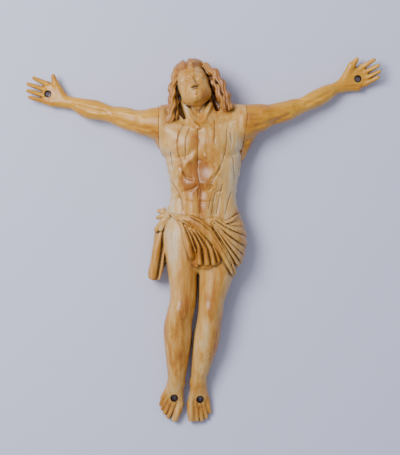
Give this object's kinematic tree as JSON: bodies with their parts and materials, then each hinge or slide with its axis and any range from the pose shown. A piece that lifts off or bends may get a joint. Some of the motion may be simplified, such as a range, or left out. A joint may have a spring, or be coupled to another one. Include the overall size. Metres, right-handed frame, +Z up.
{
  "type": "ivory corpus figure from a crucifix, loose",
  "caption": "Carved ivory corpus with outstretched arms, long hair and a knotted loincloth, pierced through the palms and feet for nails; it lies loose on its flattened back.",
  "frame": {"origin": "on the floor plane, under the middle of the figure's bounding box", "axes": "+Z up out of the chest, +Y towards the head, +X to the viewer's right, which is the figure's left"},
  "size_m": [0.2912, 0.3008, 0.0463],
  "materials": {
    "body_ivory": null,
    "arm_ivory": null
  },
  "bodies": {
    "root": {"body": "body_ivory", "right_arm": "arm_ivory", "left_arm": "arm_ivory"}
  },
  "joints": []
}
